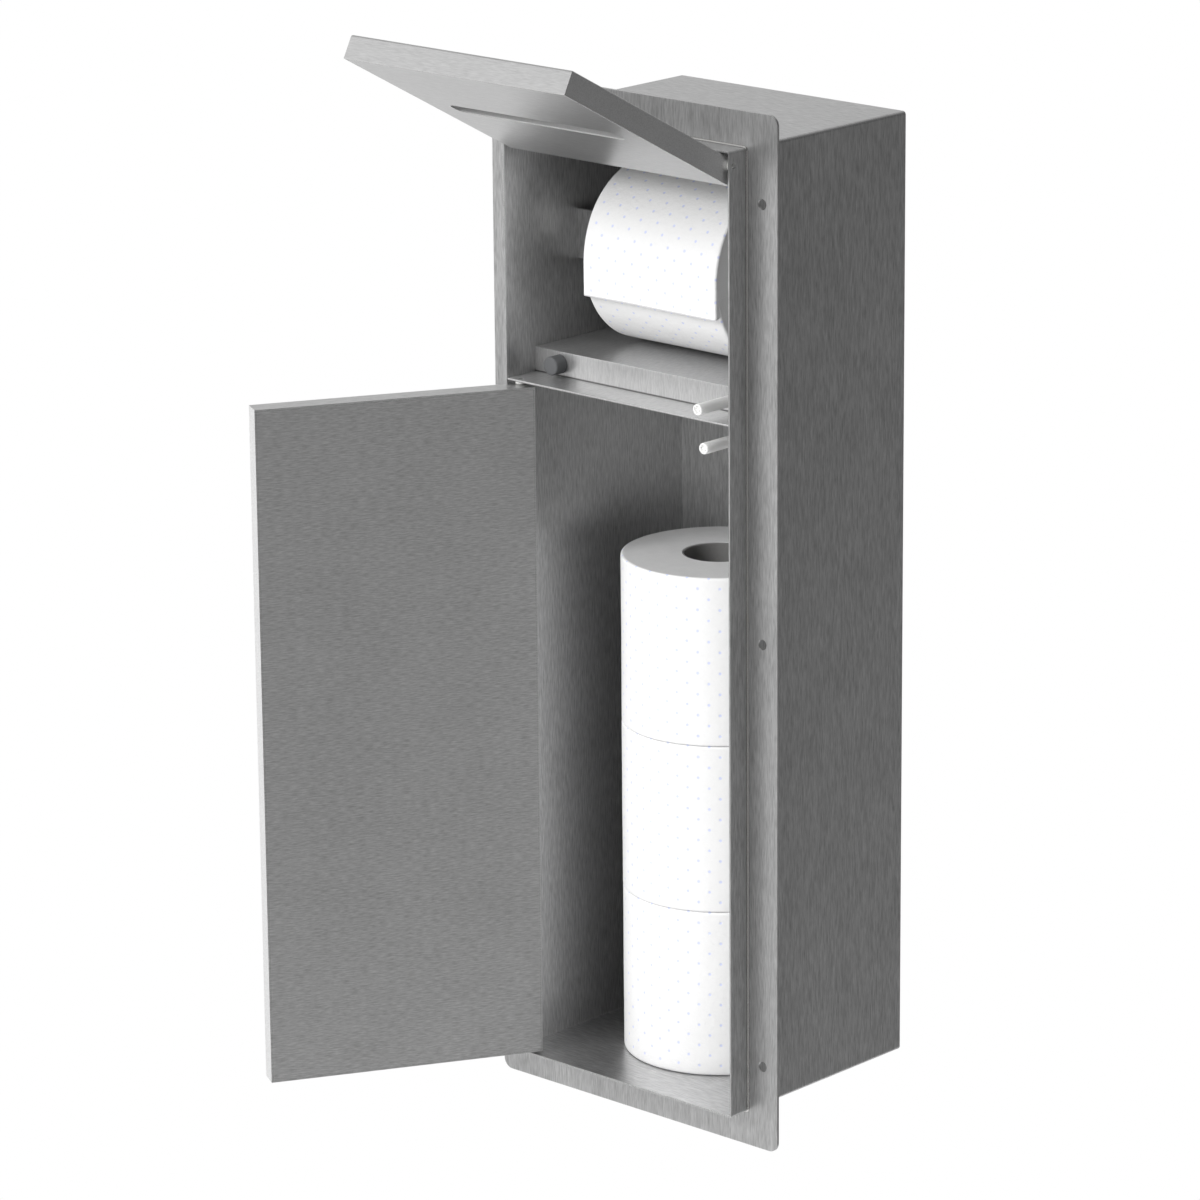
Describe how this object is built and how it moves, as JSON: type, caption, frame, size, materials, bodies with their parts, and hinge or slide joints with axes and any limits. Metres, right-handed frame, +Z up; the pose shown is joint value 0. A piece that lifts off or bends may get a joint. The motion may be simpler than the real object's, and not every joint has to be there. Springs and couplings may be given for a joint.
{
  "type": "recessed toilet roll cabinet",
  "caption": "Recessed steel wall cabinet for toilet rolls, with a top-hung slotted flap over the roll in use and a tall side-hung door over the spare rolls.",
  "frame": {"origin": "centre of the six fixing holes, on the back face of the flange, which lies on the wall", "axes": "+X to the right seen from the room, +Y into the wall, +Z up; door and flap open towards -Y"},
  "size_m": [0.2656, 0.289, 0.6414],
  "materials": {
    "brushed_sheet": "brushed stainless steel sheet, grain along the long edges",
    "brushed_lid": "brushed stainless steel sheet, grain across door and flap",
    "weld_seam": "ground bright weld bead",
    "inner_steel": "plain steel sheet, hidden inside door and flap",
    "pin_steel": "turned steel pivot pin",
    "spring_steel": "drawn spring wire",
    "screw_steel": "zinc-plated screw",
    "washer_plastic": "pale nylon washer",
    "block_plastic": "dark nylon pivot block",
    "bumper_rubber": "dark grey rubber, smooth",
    "latch_body_plastic": "light grey moulded plastic",
    "plunger_plastic": "white moulded plastic",
    "spindle_plastic": "white moulded plastic",
    "roll_paper": "soft white tissue with small pale blue dots",
    "core_card": "spiral-wound grey card"
  },
  "bodies": {
    "cabinet": {"housing_wrap": "brushed_sheet", "back_panel": "brushed_sheet", "flange_plate": "brushed_sheet", "flange_weld": "weld_seam", "divider_shelf": "brushed_sheet", "bumper": "bumper_rubber", "holder_left": "brushed_sheet", "holder_right": "brushed_sheet", "spindle_tube": "spindle_plastic", "spindle_spring": "spring_steel", "latch_bracket": "brushed_sheet", "upper_latch_body": "latch_body_plastic", "lower_latch_body": "latch_body_plastic", "upper_latch_spring": "spring_steel", "lower_latch_spring": "spring_steel", "upper_latch_screw": "screw_steel", "lower_latch_screw": "screw_steel", "flap_washer_left": "washer_plastic", "flap_washer_right": "washer_plastic", "door_washer_top": "washer_plastic", "door_washer_bottom": "washer_plastic", "spare_roll_low": "roll_paper", "spare_roll_middle": "roll_paper", "spare_roll_high": "roll_paper", "spare_core_low": "core_card", "spare_core_middle": "core_card", "spare_core_high": "core_card"},
    "door": {"door_pan": "brushed_lid", "door_liner": "brushed_lid", "door_stiffener": "inner_steel", "door_block_top": "block_plastic", "door_block_bottom": "block_plastic", "door_pin_top": "pin_steel", "door_pin_bottom": "pin_steel"},
    "flap": {"flap_pan": "brushed_lid", "flap_liner": "brushed_lid", "flap_sleeve": "inner_steel", "flap_block_left": "block_plastic", "flap_block_right": "block_plastic", "flap_pin_left": "pin_steel", "flap_pin_right": "pin_steel"},
    "roll": {"toilet_roll": "roll_paper", "roll_core": "core_card"},
    "upper_plunger": {"upper_plunger": "plunger_plastic"},
    "lower_plunger": {"lower_plunger": "plunger_plastic"},
    "spindle_end": {"spindle_end": "spindle_plastic"}
  },
  "joints": [
    {"name": "door_hinge", "type": "hinge", "parent": "cabinet", "child": "door", "pos_m": [-0.0766, -0.0124, -0.0765], "axis": [0, 0, 1], "range_deg": [0, 120]},
    {"name": "flap_hinge", "type": "hinge", "parent": "cabinet", "child": "flap", "pos_m": [0, -0.0124, 0.2716], "axis": [1, 0, 0], "range_deg": [0, 118]},
    {"name": "upper_plunger_slide", "type": "slide", "parent": "cabinet", "child": "upper_plunger", "axis": [0, 1, 0], "range_m": [0, 0.02135], "deforming": ["upper_latch_spring"]},
    {"name": "lower_plunger_slide", "type": "slide", "parent": "cabinet", "child": "lower_plunger", "axis": [0, 1, 0], "range_m": [0, 0.01635], "deforming": ["lower_latch_spring"]},
    {"name": "roll_spin", "type": "hinge", "parent": "cabinet", "child": "roll", "pos_m": [0, 0.065, 0.1955], "axis": [1, 0, 0], "continuous": true},
    {"name": "spindle_end_slide", "type": "slide", "parent": "cabinet", "child": "spindle_end", "axis": [-1, 0, 0], "range_m": [0, 0.008], "stiffness_N_per_m": 200, "springref_m": -0.01, "deforming": ["spindle_spring"]}
  ],
  "couplings": [
    {"joint": "upper_plunger_slide", "follows": "flap_hinge", "m_per_rad": 0.010342},
    {"joint": "lower_plunger_slide", "follows": "door_hinge", "m_per_rad": 0.007783}
  ]
}
